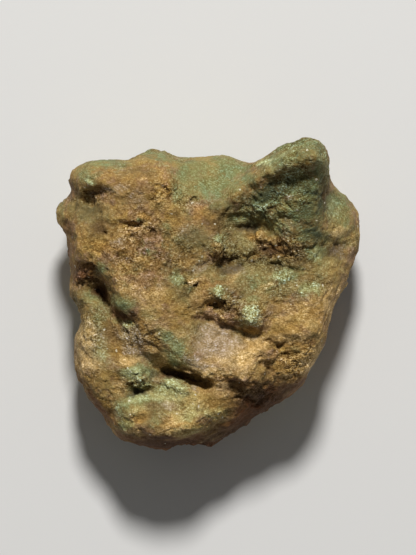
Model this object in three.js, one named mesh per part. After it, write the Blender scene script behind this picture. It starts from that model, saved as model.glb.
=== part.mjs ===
// A rough turquoise nugget: one natural lump of green turquoise in a brown, iron-stained matrix.
//
// The lump lies on a small worn flat. Seen from above it is a rounded shield with a horn standing up at its
// far right corner. A broad plateau fills the left half and is bevelled down to the rim on its far side. A
// stepped lip runs diagonally along the plateau's near edge, with two lobes and a nodule below it.
//
// Millimetres, +Z up, +X right, +Y away. The origin is the middle of the footprint's box, on the surface
// that the nugget lies on.

import * as THREE from "three";
import { ImprovedNoise } from "three/addons/math/ImprovedNoise.js";
import { mergeVertices } from "three/addons/utils/BufferGeometryUtils.js";

// Driving dimensions: the finished nugget's box.
const WIDTH = 35.1;
const LENGTH = 36.1;
const HEIGHT = 22;

// The surface is an icosahedron whose faces are each divided into (FINENESS + 1)^2 triangles. More of them
// fall on the upper side: the rim lies this far round from the top.
const FINENESS = 21;
const RIM_POLAR_ANGLE = THREE.MathUtils.degToRad(102);

// How tightly the surface turns over at the rim, how near the rim its small bays and bulges keep to, and how
// softly the surface is stretched over its spot heights.
const RIM_TIGHTNESS = 10;
const BAY_TIGHTNESS = 14;
const BAY_ANGLE = THREE.MathUtils.degToRad(20);
const SPOT_SOFTNESS = 0.5;

// The weathered lumpiness over the whole surface: the width of a lump and how far it stands out. Away from
// the rim the underside is lumpier by the given factor.
const LUMPS = [
  { width: 5.5, height: 0.4 },
  { width: 2.6, height: 0.16 },
];
const UNDERSIDE_LUMPINESS = 2.6;

// The rim, where the upper and lower sides meet, [x, y, z]: anticlockwise seen from above.
const RIM = [
  [15.5, 0, 8], [16.1, 1.2, 8], [16.8, 4, 8.2], [17.5, 5.6, 8.2], [17.6, 7, 8.3], [17.4, 9.4, 8.4],
  [16.2, 11.1, 8.8], [14.9, 12.2, 10], [14.1, 13.4, 12.2], [14.1, 14.5, 14.2], [13.9, 16, 15.8],
  [13.3, 17.3, 16.4], [12.4, 17.95, 16.4], [11, 18.05, 15.8], [10, 17.8, 15], [8, 17, 13],
  [6, 15.7, 10.8], [5.2, 15.3, 10], [4.2, 15.5, 9.4], [2.2, 16.2, 8.8], [0, 16.3, 8.6], [-2.6, 16, 8.6],
  [-3.6, 16, 8.8], [-5.5, 16.7, 9.2], [-7.2, 16.6, 9.4], [-9, 15.8, 9.4], [-10.5, 15.6, 9.4],
  [-13, 15.7, 9.8], [-14.6, 15.4, 10], [-15.7, 14.6, 10], [-16.2, 13.8, 9.8], [-15.9, 12.4, 9],
  [-16.3, 11.3, 8.6], [-17.2, 10.6, 8.8], [-17.6, 9.7, 9], [-17.4, 8.5, 8.8], [-16.4, 7, 8.2],
  [-16.1, 6, 8], [-16.2, 4.8, 7.8], [-15.8, 3.2, 7.4], [-15.8, 2, 7.4], [-16.2, 0.6, 7.8],
  [-15.7, -0.5, 7.8], [-14.7, -2, 7.4], [-14.7, -3.2, 7.2], [-15.4, -5, 7.2], [-15.4, -8, 7],
  [-14.6, -10.4, 7], [-13, -12.9, 6.8], [-11.4, -15, 6.6], [-10.4, -16.5, 6.8], [-8.8, -17.4, 6.8],
  [-6.2, -18.05, 6.6], [-4.6, -17.9, 6.4], [-2.8, -17.4, 6.2], [0, -17.5, 6.2], [1.4, -17.2, 6.2],
  [4, -15.2, 6.2], [6, -14, 6.4], [8, -12.9, 6.6], [10, -11.5, 6.8], [11.2, -10.2, 7],
  [11.9, -8.6, 7.2], [13.1, -7.1, 7.4], [13.9, -5.4, 7.6], [14.2, -3.2, 7.6], [14.7, -1.4, 7.8],
];

// Spot heights of the upper side, [x, y, z], zone by zone.
const UPPER_SPOTS = {
  plateau: [
    [-12, 13.2, 16.8], [-9, 13.6, 17.1], [-6, 13.8, 17.1], [-4, 12.4, 16.8], [-11.6, 10, 16.7],
    [-9, 10, 16.8], [-6, 10, 16.9], [-3, 10, 16.6], [0, 9.5, 16.4], [-11.8, 6.4, 16.4], [-9, 6, 16.8],
    [-6, 6, 16.9], [-3, 6.4, 16.5], [-0.4, 7.6, 16.3], [-10.4, 3.4, 16.7], [-7, 3, 16.9], [-4, 3, 16.6],
    [-1, 3.4, 16.2], [-9, 0, 16.9], [-6, -0.4, 16.9], [-3, 0, 16.5], [-1, 1.2, 16.2], [-4, -3.2, 16.4],
    [-3, -5.4, 15.9], [-1.6, -5.8, 15.4],
  ],
  farBevel: [
    [-14, 14.7, 14.3], [-11, 14.8, 14.4], [-8.5, 15, 14.6], [-6, 15.6, 14.4], [-3, 15, 13.9],
    [0, 15.2, 12.9], [2.5, 15, 12.7], [4.2, 14.6, 13.2], [-2.6, 13.6, 14.8], [0, 13.4, 14.3],
    [2.4, 13, 14.6], [1.2, 11.6, 15.4], [-1.2, 12, 15.4], [4.2, 13.4, 15.2],
  ],
  hornCrest: [
    [1.6, 10.2, 16.4], [3.4, 12, 17.6], [5.4, 13.3, 18.8], [7, 14.1, 19.9], [9, 14.8, 21], [10.5, 15.5, 21.8],
    [12, 16, 22.2], [13, 15.8, 21.8],
  ],
  hornFarSide: [
    [5.4, 14.6, 15.8], [7, 15.7, 17], [9, 16.6, 19], [11, 17.1, 20.5], [12.6, 16.9, 21],
    [13.4, 15.2, 20.6],
  ],
  hornNearSide: [
    [5, 12.3, 17], [5, 11.3, 16.9], [4.6, 10.3, 16.4], [5, 9.7, 16.1], [4.8, 8.8, 15.3], [5, 7.7, 14.3],
    [3, 9, 14.9], [7, 13.1, 18.2], [7, 12, 17.7], [6.8, 10.7, 17.4], [7, 9.8, 17], [6.6, 8.9, 15.9],
    [6.8, 7.8, 15.1], [9, 13.6, 18.9], [9, 12.4, 18.5], [8.8, 11, 18.2], [9, 9.6, 17.7], [9, 8.3, 17.1],
    [9, 7.2, 16.5], [9, 6, 15.9], [11, 14.3, 19.6], [11, 12.8, 19], [11, 11.2, 18.6], [11, 9.7, 18],
    [11, 8.4, 17.3], [11, 7.2, 16.5], [11, 6, 15.8], [12.9, 14.2, 19.2], [13, 12.8, 18.6],
    [12.8, 11.3, 17.8], [13, 9.8, 16.9], [13, 8.4, 16.1], [13, 7.2, 15.3],
  ],
  shoulder: [
    [14.9, 11.2, 12], [16, 9.8, 11.6], [14.8, 9, 13], [16.5, 8, 11.8], [15.3, 7.2, 13], [16.4, 6.2, 11.2],
    [14.7, 5.6, 12.4],
  ],
  middle: [
    [1.1, 6.8, 16.2], [1.5, 5, 16.1], [2, 3.7, 14.5], [3, 7.2, 14.6], [4, 6.2, 14.9], [3.6, 4.9, 15],
    [5.8, 6.2, 15.2], [7, 4.8, 14.7], [9, 4.8, 15.2], [4, 3.4, 14.5], [2.2, 2.4, 14.9], [6, 2.6, 15.1],
    [8.6, 2.2, 15.2], [8, 3.4, 14.5], [11, 4.6, 15], [13, 4.2, 14.3], [15, 3.6, 13.2], [11, 2, 14.8],
    [13.4, 2, 14.4], [15, 1.4, 13.2], [0.8, 1.6, 15.8], [3, 1, 15.6], [5.4, 0.4, 15.6], [8, 0, 15.5],
    [11, 0, 15.2], [13.5, -0.8, 14.6],
  ],
  nearStep: [
    [1, -0.3, 16.4], [1, -1.5, 14.7], [-0.6, -1.4, 16], [-0.8, -2.8, 15], [1.6, -2.7, 15.7],
    [3, -1.4, 15.4], [3.4, -3.1, 15.5], [5, -2.3, 16.5], [5, -3.3, 16.3], [7.4, -2, 15.4],
    [10, -2.8, 15.3], [12.4, -2.6, 15], [13.2, -4, 14.2], [7.4, -4.2, 15.1], [10, -4.6, 15],
  ],
  hollowFace: [
    [-1, -4.2, 15.2], [1, -3.9, 14.8], [2.8, -4.3, 14.6], [4.4, -4.5, 14.4], [6, -4.8, 14.7],
    [0.4, -5.8, 14.7], [2.4, -6.2, 14.8], [5.2, -6.4, 15], [2.6, -7.8, 15.1], [0.2, -7.6, 14.8],
    [4.4, -8.2, 15.4], [4.6, -9.2, 15.1], [3.2, -9.2, 15], [1.4, -8.9, 14.7], [6.6, -6.4, 14.9],
  ],
  nearRightTerrace: [
    [6.6, -8, 13.7], [8.4, -7.2, 13.9], [9.2, -5.9, 14], [11, -6.4, 13.9], [12.4, -5.8, 13.7],
    [5.6, -10.3, 14], [7.2, -10, 13.6], [9.2, -9.4, 13.1], [10.6, -8.2, 13.1], [11.6, -7, 13.2],
    [2.8, -10.3, 13.4], [3.6, -11.4, 13], [5.4, -11.4, 12.7], [7.2, -11.6, 11.9], [9, -10.9, 11.2],
    [4.8, -13, 11], [2.2, -13.4, 12.4], [1.2, -15.2, 11],
  ],
  nearLobe: [
    [-4.9, -9.4, 13], [-3.4, -9.9, 13.3], [-1.9, -10.5, 13.5], [-0.4, -11.2, 13.6],
    [1.4, -10.4, 14], [2, -11.8, 13.5], [-6, -12, 13.3], [-3, -12.8, 13.7], [0, -13.2, 13.5],
    [-8.2, -12.2, 13.2], [-8, -14.4, 13.5], [-4, -14.8, 14], [-1, -14.8, 13.3], [-9.4, -15.2, 12.7],
    [-6.8, -16.1, 12.6], [-3.8, -16.2, 12.8], [-10.2, -13.4, 12.8],
  ],
  lip: [
    [-15.3, 4.8, 13.9], [-14.2, 4.4, 15.2], [-13, 3.8, 15.8], [-12, 3.0, 16.1], [-11.1, 1.8, 16.3],
    [-10.5, 0.4, 16.4], [-10.2, -0.9, 16.3], [-8.7, -1.8, 16.6], [-7.2, -2.6, 16.6], [-6.1, -3.7, 16.3],
    [-5.3, -4.8, 15.8], [-4.6, -5.9, 15.3], [-4, -7, 14.8], [-5.1, -7.6, 13.8], [-3.9, -7.9, 14.1],
    [-2.7, -8.3, 14.3], [-1.5, -8.8, 14.3], [-0.4, -9.3, 14.2], [0.5, -9.7, 14],
  ],
  lipFoot: [
    [-15.2, 3.2, 12.9], [-14.2, 2.9, 13.9], [-13.3, 2.6, 14.2], [-15, 1.6, 12.5], [-14, 1.6, 12.9],
    [-13.1, 1.5, 13], [-12.5, 0.9, 12.1], [-12, 0, 12], [-11.5, -0.9, 12.7], [-14, 0.5, 12.6],
    [-10.6, -2.2, 14.2], [-9, -3.1, 15.1], [-7.8, -3.9, 15.4], [-7, -4.8, 15.1], [-6.4, -5.9, 14.6],
    [-5.9, -7, 13.6], [-5.2, -8.6, 11.8], [-4, -8.8, 11.6], [-2.7, -9.2, 11.6], [-1.3, -9.8, 11.8],
    [0, -10.3, 12.4],
  ],
  slopeBelowLip: [
    [-10.8, -4, 13.7], [-9.4, -4.6, 14.5], [-8.2, -5.6, 14.4], [-9.2, -6.6, 13.9], [-7.4, -6.9, 13.7],
    [-6.6, -7.8, 12.9],
  ],
  nodule: [
    [-9.6, -7.6, 13.9], [-8.3, -8.8, 14.2], [-7, -8.6, 13.8], [-8, -10.2, 13.8], [-8.4, -11.3, 12.6],
    [-7, -11.1, 12.8], [-6.4, -10.2, 13.3],
  ],
  leftLobe: [
    [-14.4, -0.2, 12.9], [-12.6, -1, 13], [-13.2, -3, 13.2], [-11.8, -2.6, 13], [-13.6, -6, 13.1],
    [-11.4, -6, 13.6], [-13.4, -8.8, 12.8], [-11.2, -9, 13.4], [-12.4, -11.2, 12.3], [-10.4, -10.8, 12.9],
  ],
  farLeftCorner: [
    [-13.5, 13.3, 16.4], [-15, 13.6, 14.4], [-13.3, 11.8, 14.3], [-15, 12, 13.4], [-14, 10.2, 14.4],
    [-15.4, 9.4, 13.4], [-14.2, 8.2, 15.2], [-15.3, 7, 13.8], [-13.8, 6.2, 15.8], [-16.5, 9.8, 11.4],
  ],
};

// Spot heights of the underside, [x, y, z]. Those below zero are worn away to the flat that it lies on.
const UNDER_SPOTS = {
  wornFlat: [
    [0, 0, -1], [-5, 2, -0.9], [4, 3, -0.9], [2, -5, -0.8], [-4, -5, -0.6], [0, 6, -0.7], [6, -1, -0.5],
  ],
  heel: [
    [-9, 4, 0.8], [-7, 9, 2.6], [0, 10, 0.6], [7, 9, 3], [10, 3, 1], [8, -5, 2.4], [2, -10, 1],
    [-5, -10, 3], [-9, -4, 0.8],
  ],
  flanks: [
    [-13, 0, 4], [-13, 7, 2.6], [-10, 12, 5], [-3, 13.4, 2.8], [4, 12.6, 4.6], [10.6, 14, 8.4],
    [9.4, 11, 4.4], [14, 7, 3.2], [13, 0, 4.8], [10.4, -7, 2.8], [4, -13, 4.8], [-3, -14.6, 2.6],
    [-9.6, -12, 5], [-12.6, -7, 2.6],
  ],
};

// The rim as a function of the angle round the middle: its distance from the middle and its height.
function traceRim() {
  const curve = new THREE.CatmullRomCurve3(
    RIM.map((spot) => new THREE.Vector3(...spot)),
    true,
    "centripetal",
  );
  const slots = 1440;
  const turn = 2 * Math.PI;
  const radii = new Array(slots).fill(0);
  const heights = new Array(slots).fill(0);
  for (const point of curve.getPoints(8 * slots)) {
    const angle = (Math.atan2(point.y, point.x) + turn) % turn;
    const slot = Math.floor((angle / turn) * slots) % slots;
    const radius = Math.hypot(point.x, point.y);
    if (radius > radii[slot]) {
      radii[slot] = radius;
      heights[slot] = point.z;
    }
  }
  // The same distances with the small bays and bulges averaged away.
  const halfBay = Math.round((BAY_ANGLE / turn / 2) * slots);
  const plainRadii = radii.map((_, slot) => {
    let sum = 0;
    for (let k = -halfBay; k <= halfBay; k++) sum += radii[(slot + k + slots) % slots];
    return sum / (2 * halfBay + 1);
  });
  const lookUp = (values, angle) => {
    const place = ((((angle % turn) + turn) % turn) / turn) * slots;
    const low = Math.floor(place) % slots;
    return THREE.MathUtils.lerp(values[low], values[(low + 1) % slots], place - Math.floor(place));
  };
  const radius = (angle, spread) =>
    THREE.MathUtils.lerp(lookUp(plainRadii, angle), lookUp(radii, angle), spread ** BAY_TIGHTNESS);
  // How far out to the rim a point lies, from 0 in the middle to 1, settled in a few rounds.
  const spreadOf = (x, y) => {
    const angle = Math.atan2(y, x);
    let spread = 1;
    for (let round = 0; round < 12; round++) spread = Math.min(1, Math.hypot(x, y) / radius(angle, spread));
    return spread;
  };
  return {
    radius,
    spreadOf,
    height: (angle) => lookUp(heights, angle),
    middleHeight: heights.reduce((sum, height) => sum + height, 0) / slots,
  };
}

const rim = traceRim();

// The level surface that both sides spring from, and how much of a side's rise is left near the rim.
function springing(angle, spread) {
  return THREE.MathUtils.lerp(rim.middleHeight, rim.height(angle), spread ** 2);
}
function turnOver(spread) {
  return Math.sqrt(Math.max(0, 1 - spread ** RIM_TIGHTNESS));
}

// Solves a square system of linear equations by elimination with row swaps.
function solve(rows, results) {
  const size = rows.length;
  const matrix = rows.map((row, i) => [...row, results[i]]);
  for (let column = 0; column < size; column++) {
    let best = column;
    for (let row = column + 1; row < size; row++) {
      if (Math.abs(matrix[row][column]) > Math.abs(matrix[best][column])) best = row;
    }
    [matrix[column], matrix[best]] = [matrix[best], matrix[column]];
    for (let row = column + 1; row < size; row++) {
      const share = matrix[row][column] / matrix[column][column];
      for (let k = column; k <= size; k++) matrix[row][k] -= share * matrix[column][k];
    }
  }
  const found = new Array(size).fill(0);
  for (let row = size - 1; row >= 0; row--) {
    let rest = matrix[row][size];
    for (let k = row + 1; k < size; k++) rest -= matrix[row][k] * found[k];
    found[row] = rest / matrix[row][row];
  }
  return found;
}

// One side's rise over its springing, as a smooth sheet stretched through the spot heights.
function stretchSheet(zones) {
  const spots = Object.values(zones).flat();
  const reach = (ax, ay, bx, by) => Math.hypot(ax - bx, ay - by, SPOT_SOFTNESS);
  const rises = spots.map(([x, y, z]) => {
    const spread = rim.spreadOf(x, y);
    return (z - springing(Math.atan2(y, x), spread)) / turnOver(spread);
  });
  const rows = spots.map(([ax, ay]) => spots.map(([bx, by]) => reach(ax, ay, bx, by)));
  const weights = solve(rows, rises);
  return (x, y) => spots.reduce((sum, [sx, sy], i) => sum + weights[i] * reach(x, y, sx, sy), 0);
}

const upperSheet = stretchSheet(UPPER_SPOTS);
const underSheet = stretchSheet(UNDER_SPOTS);
const noise = new ImprovedNoise();

// Where the surface lies in the direction of a point of the unit sphere.
function surfacePoint(direction) {
  const polarAngle = Math.acos(THREE.MathUtils.clamp(direction.z, -1, 1));
  const upper = polarAngle < RIM_POLAR_ANGLE;
  const share = upper ? polarAngle / RIM_POLAR_ANGLE : (Math.PI - polarAngle) / (Math.PI - RIM_POLAR_ANGLE);
  const spread = Math.sin((share * Math.PI) / 2);
  const angle = Math.atan2(direction.y, direction.x);
  const radius = rim.radius(angle, spread) * spread;
  const x = radius * Math.cos(angle);
  const y = radius * Math.sin(angle);
  const rise = turnOver(spread) * (upper ? upperSheet(x, y) : underSheet(x, y));
  const point = new THREE.Vector3(x, y, springing(angle, spread) + rise);
  let lump = 0;
  for (const { width, height } of LUMPS) {
    lump += height * noise.noise(point.x / width + 40, point.y / width + 40, point.z / width + 40);
  }
  if (!upper) lump *= THREE.MathUtils.lerp(UNDERSIDE_LUMPINESS, 1, spread ** 6);
  point.addScaledVector(direction, lump);
  point.z = Math.max(0, point.z);
  return point;
}

function nuggetGeometry() {
  const ball = new THREE.IcosahedronGeometry(1, FINENESS);
  ball.deleteAttribute("normal");
  ball.deleteAttribute("uv");
  const geometry = mergeVertices(ball, 1e-5);
  const position = geometry.getAttribute("position");
  const direction = new THREE.Vector3();
  for (let i = 0; i < position.count; i++) {
    direction.fromBufferAttribute(position, i).normalize();
    position.setXYZ(i, ...surfacePoint(direction));
  }
  // Bring the lump to its exact size, standing on the surface that it lies on.
  geometry.computeBoundingBox();
  const { min, max } = geometry.boundingBox;
  geometry.translate(-(min.x + max.x) / 2, -(min.y + max.y) / 2, -min.z);
  geometry.scale(WIDTH / (max.x - min.x), LENGTH / (max.y - min.y), HEIGHT / (max.z - min.z));
  geometry.computeVertexNormals();
  return geometry;
}

const stone = new THREE.MeshStandardMaterial({ color: 0x8a7a50, roughness: 0.75, metalness: 0 });
const nugget = new THREE.Mesh(nuggetGeometry(), stone);
nugget.name = "nugget";

const group = new THREE.Group();
group.add(nugget);

export default group;
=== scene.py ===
import math

import bmesh
import bpy
import numpy as np
from mathutils import Matrix, Vector, noise


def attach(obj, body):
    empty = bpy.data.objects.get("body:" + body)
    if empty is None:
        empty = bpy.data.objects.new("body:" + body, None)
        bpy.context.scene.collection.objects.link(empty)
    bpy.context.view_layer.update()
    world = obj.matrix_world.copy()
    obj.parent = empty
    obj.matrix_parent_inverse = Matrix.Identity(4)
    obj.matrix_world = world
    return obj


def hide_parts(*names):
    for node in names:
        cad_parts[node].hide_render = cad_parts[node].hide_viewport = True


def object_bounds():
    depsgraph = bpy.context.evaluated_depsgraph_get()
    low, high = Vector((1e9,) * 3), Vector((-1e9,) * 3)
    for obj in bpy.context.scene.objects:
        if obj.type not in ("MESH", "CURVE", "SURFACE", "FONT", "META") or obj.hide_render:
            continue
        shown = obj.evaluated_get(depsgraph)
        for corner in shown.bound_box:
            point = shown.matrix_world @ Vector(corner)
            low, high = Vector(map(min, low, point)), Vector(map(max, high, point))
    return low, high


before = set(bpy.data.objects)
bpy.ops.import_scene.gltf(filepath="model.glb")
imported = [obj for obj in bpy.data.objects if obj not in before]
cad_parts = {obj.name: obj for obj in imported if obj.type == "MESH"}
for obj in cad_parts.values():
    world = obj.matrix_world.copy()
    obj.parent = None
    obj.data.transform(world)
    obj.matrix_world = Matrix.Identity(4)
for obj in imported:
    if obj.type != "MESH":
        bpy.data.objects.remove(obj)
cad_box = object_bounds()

# The stone is shaped in millimetres, in the frame's axes, and scaled to metres at the end.
MM = 0.001

# Steps from the CAD solid to the finished surface.
FIRST_VOXEL = 0.2
FINISHED_VOXEL = 0.15
FACET_SMOOTHING = 12

# The finished surface keeps every face where it is seen best, and fewer below, this many in all.
TRIANGLES = 190_000

# How far the edges of the listed shapes wander, as (width of a wiggle, how far).
SHAPE_WANDER = [(1.7, 0.32), (0.8, 0.2), (0.4, 0.1)]
COLOUR_WANDER = [(3.0, 0.6), (1.2, 0.4), (0.5, 0.2)]

# An ellipse ends at this many times its size, and a patch starts to fade at this share of it.
ELLIPSE_END = 1.35
PATCH_EDGE = 0.25


def blend_in(low, high, value):
    """0 at low, 1 at high, and a smooth change between them. Low may be the larger one."""
    share = np.clip((value - low) / (high - low), 0.0, 1.0)
    return share * share * (3.0 - 2.0 * share)


def scaled(points, width, seed):
    """Places counted in widths, moved elsewhere for each seed."""
    return points / width + seed * np.array([7.31, 3.17, 5.71])


def noise_at(points, width, seed):
    """Smooth noise from -1 to 1 whose lumps are about width across."""
    return np.array([noise.noise(Vector(p)) for p in scaled(points, width, seed)])


def fractal_at(points, width, seed, octaves):
    """Noise with finer and finer lumps on the lumps."""
    return np.array([noise.fractal(Vector(p), 0.9, 2.1, octaves) for p in scaled(points, width, seed)])


def cells_at(points, width, seed):
    """The distance to the nearest grain's centre, in widths, and a number that each grain keeps."""
    near, tag = [], []
    for p in scaled(points, width, seed):
        distances, centres = noise.voronoi(Vector(p))
        near.append(distances[0])
        # Centres are spread apart, so that neighbours draw different numbers.
        tag.append(noise.cell(centres[0] * 37.7))
    return np.array(near), np.array(tag)


def round_grains(points, width, seed):
    """Rounded grains side by side, each of its own height."""
    near, tag = cells_at(points, width, seed)
    return (0.5 + tag) * (0.45 - near)


def scattered_pits(points, width, share, seed):
    """1 at the bottom of a pit and 0 outside: a share of the cells, width across, hold a pit each."""
    near, tag = cells_at(points, width, seed)
    return blend_in(0.5, 0.15, near) * (tag < share)


# ---- relief, seen from above: x, y and heights in millimetres ----

# Mounds and pits: (x, y, length, breadth, turn in degrees, height, edge). An edge near 1 is sharp.
MOUNDS = [
    # far left corner: knob, cavity beside it, grey patch, left lump and its pit
    (-13.6, 13.4, 1.3, 1.1, 20, 0.5, 0.2),
    (-13.5, 12.4, 1.4, 0.9, 0, 0.5, 0),
    (-13.3, 11.7, 0.9, 0.4, -10, -0.6, 0.3),
    (-13.8, 10.2, 1.2, 0.9, 10, -0.25, 0.3),
    (-16.8, 9.8, 0.9, 1.4, 0, 0.5, 0.2),
    (-16.6, 7.9, 0.35, 0.5, 0, -0.8, 0.4),
    (-15.2, 6.2, 1, 1.9, 0, 0.45, 0.2),
    # plateau: pits and a few proud grains
    (-8.5, 8.1, 1.4, 0.45, 0, -0.6, 0.1),
    (-8.2, 8.5, 0.3, 0.25, 0, 0.6, 0.5),
    (-6.3, 7.2, 0.35, 0.3, 20, -0.5, 0.2),
    (-11.7, 7.1, 0.5, 0.25, -20, -0.4, 0.2),
    (-5.2, 12.2, 0.7, 0.4, -30, -0.5, 0.4),
    (-1.6, 10.9, 0.5, 0.3, 10, -0.4, 0.4),
    (-2.3, 1.1, 0.35, 0.3, 0, -0.6, 0.5),
    (-1.3, 0.9, 0.35, 0.3, 0, -0.6, 0.5),
    (-1.3, 1.9, 0.8, 0.45, 20, 0.3, 0.3),
    # middle: pale bump, hollow, rough bands
    (1.4, 5.5, 1.2, 1.1, 10, 0.3, 0.2),
    (2.3, 3.5, 1.4, 0.6, 15, -0.35, 0.3),
    (6, 6.6, 0.9, 0.5, -20, 0.4, 0.3),
    (7.6, 5.1, 1.5, 0.5, -8, -0.4, 0.3),
    (8.6, 3.3, 1.3, 0.35, -8, -0.45, 0.4),
    # horn's near side: steps and lit bosses
    (6.5, 10, 1.3, 0.7, 10, 0.45, 0.2),
    (5.2, 7.8, 1.6, 0.6, -5, -0.4, 0.2),
    (9.6, 7.4, 1.6, 0.6, -5, 0.25, 0.2),
    # near step: mint lip with a pocket under it, nodules, the mint knob
    (1.2, -0.4, 1, 0.45, -35, 0.4, 0.4),
    (0.9, -1.4, 1, 0.4, -30, -0.8, 0.3),
    (0.2, -2, 0.9, 0.4, 0, 0.4, 0.4),
    (1.4, -2.65, 0.5, 0.3, -10, 0.5, 0.4),
    (5, -2.3, 1.3, 0.9, 60, 0.2, 0.1),
    (4.7, -2.1, 0.6, 0.5, -40, 0.25, 0.3),
    (5.6, -2.7, 0.5, 0.45, 20, 0.25, 0.3),
    (4.8, -3.2, 1.3, 0.6, -10, 0.5, 0.3),
    (5.6, -1.1, 0.55, 0.4, 0, 0.25, 0.3),
    (3.7, -2.2, 0.7, 0.6, 0, 0.2, 0.2),
    # hollow face and the terrace right of it
    (3, -10.2, 0.7, 0.3, -20, -0.5, 0.4),
    (3.4, -11.9, 0.5, 0.3, 30, -0.4, 0.3),
    (5.3, -12.4, 0.9, 0.35, -10, -0.5, 0.3),
    (7.2, -11.3, 0.9, 0.3, 0, -0.5, 0.3),
    (5.4, -10.4, 1.9, 0.9, -20, 0.3, 0.2),
    (7, -5.4, 0.7, 0.25, -10, -0.4, 0.4),
    (8.2, -6, 0.6, 0.25, -30, -0.3, 0.4),
    (8.8, -7, 0.7, 0.3, -25, -0.25, 0.3),
    (7, -7.4, 1.2, 0.7, -50, 0.3, 0.2),
    (6.6, -8.4, 0.5, 0.4, 0, -0.3, 0.3),
    (9.4, -7.6, 1.2, 0.7, 20, 0.3, 0.2),
    # the foot of the lip, the nodule, and the near lobe's knobs
    (-6.3, -7.2, 1.3, 0.9, -45, 0.5, 0),
    (-8.4, -8.8, 1.2, 0.6, 0, 0.25, 0.3),
    (-8, -10.4, 1.3, 0.5, 5, 0.25, 0.3),
    (-7.2, -9.3, 0.5, 0.4, 0, 0.2, 0.3),
    (-4.2, -10.3, 1.6, 0.5, -20, 0.3, 0.3),
    (-2.4, -10.9, 0.9, 0.5, -20, 0.25, 0.3),
    (-6, -15.8, 5.4, 1.1, 0, 0.75, 0.3),
    (-0.8, -14.8, 2.4, 1.1, 25, 0.6, 0.3),
    (-3.8, -14.6, 1.2, 0.6, 0, 0.2, 0.3),
    (-8, -13.8, 1, 0.6, 0, 0.2, 0.3),
]

# Grooves and ridges: (height, half width, points). They fade out at both ends.
LINES = [
    # along the big slit, and the crack under the nodule with its ridge
    (-0.5, 0.35, [(-5.6, -8.4), (-4, -9), (-2.8, -9.4), (-1.6, -9.9), (-0.4, -10.4), (0.4, -10.8)]),
    (-0.45, 0.22, [(-9.5, -11.3), (-8.6, -11.3), (-7.6, -11.2), (-6.4, -10.8)]),
    (0.3, 0.15, [(-9.2, -10.75), (-8, -10.7), (-6.4, -10.3)]),
    # under the near step and the mint knob
    (-0.5, 0.22, [(-1.8, -2.6), (-0.8, -2.8), (0.2, -2.9), (1, -3.1)]),
    (-0.45, 0.35, [(0.6, -3.2), (1.6, -3.5), (2.6, -3.8), (4, -4.3), (5, -4.6), (6.4, -4.5)]),
    # the trench beside the plateau
    (-0.8, 0.32, [(-13.2, 1.4), (-12.5, 0.5), (-11.9, -0.4), (-11.2, -1.3)]),
    (-0.5, 0.35, [(-10.9, -1.7), (-10, -2.4), (-8.6, -3), (-7.6, -3.5)]),
    # the left rim, the right shoulder and the plateau's edge to the middle
    (-0.5, 0.35, [(-15.4, 13.9), (-15.4, 12.6), (-15.2, 11), (-15.3, 9.4)]),
    (-0.5, 0.3, [(13.4, 5.9), (14.4, 6), (15.6, 6.2)]),
    (-0.3, 0.25, [(-4.4, 8.4), (-4.6, 6), (-4.3, 4), (-4.6, 2)]),
]

# Ledges: (rise, reach of the rise, drop, reach of the drop, points). The high side is on the left.
LEDGES = [
    # the plateau's near edge over the trough
    (0.3, 1.2, 0.5, 0.7, [
        (-15.8, 4.1), (-14.6, 3.9), (-13.2, 3.4), (-12.1, 2.6), (-11.4, 1.4), (-10.9, 0.2),
        (-10.6, -1.2), (-9.7, -2.1), (-8.2, -2.8),
    ]),
]

# Shelves are filled up to a height and break off along a line, with the shelf on its left:
# (width, drop, reach of the drop, points with their heights).
SHELVES = [
    # the roof over the big slit
    (1.3, 0.5, 0.7, [
        (-5.7, -7.7, 13.4), (-4.6, -8.1, 13.9), (-3.6, -8.5, 14.3), (-2.4, -8.95, 14.9),
        (-1.2, -9.4, 15.0), (0, -9.8, 14.8), (0.9, -10.1, 14.2),
    ]),
    # the hollow face's near edge
    (1.2, 0.2, 0.5, [
        (2.3, -9.5, 14.7), (2.9, -9.6, 14.9), (3.8, -9.8, 15.2), (4.9, -9.6, 15.0), (5.4, -9.0, 14.8),
    ]),
    # under the mint knob
    (1.0, 0.2, 0.6, [(3.4, -3.0, 15.5), (4.2, -3.5, 15.8), (5.2, -3.7, 15.8), (6.0, -3.3, 15.5)]),
]


def wander(points, wiggles):
    """The places at which the listed shapes are read, so that their edges wander naturally."""
    spot = points[:, :2].copy()
    for number, (width, reach) in enumerate(wiggles):
        spot[:, 0] += reach * noise_at(points, width, seed=11 + number)
        spot[:, 1] += reach * noise_at(points, width, seed=23 + number)
    return spot


def inside(spot, x, y, length, breadth, turn, edge):
    """1 in the middle of an ellipse, 0 outside it."""
    cos, sin = math.cos(math.radians(turn)), math.sin(math.radians(turn))
    dx, dy = spot[:, 0] - x, spot[:, 1] - y
    reach = np.hypot((dx * cos + dy * sin) / length, (dy * cos - dx * sin) / breadth)
    return 1.0 - blend_in(edge, ELLIPSE_END, reach)


def beside(spot, line):
    """The distance to a line, positive on its left, its height there, and 1 away from its ends."""
    line = np.array(line, float)
    heights = line[:, 2] if line.shape[1] == 3 else np.zeros(len(line))
    line = line[:, :2]
    level = np.zeros(len(spot))
    best = np.full(len(spot), 1e9)
    side = np.zeros(len(spot))
    along = np.zeros(len(spot))
    start = 0.0
    for number, (a, b) in enumerate(zip(line[:-1], line[1:])):
        step = b - a
        length = np.hypot(*step)
        share = np.clip(((spot - a) @ step) / length**2, 0, 1)
        gap = spot - a - share[:, None] * step
        distance = np.hypot(gap[:, 0], gap[:, 1])
        closer = distance < best
        cross = step[0] * (spot[:, 1] - a[1]) - step[1] * (spot[:, 0] - a[0])
        best[closer] = distance[closer]
        side[closer] = np.sign(cross[closer])
        along[closer] = start + share[closer] * length
        level[closer] = heights[number] + share[closer] * (heights[number + 1] - heights[number])
        start += length
    return side * best, level, blend_in(0.0, 1.0, np.minimum(along, start - along))


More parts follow.
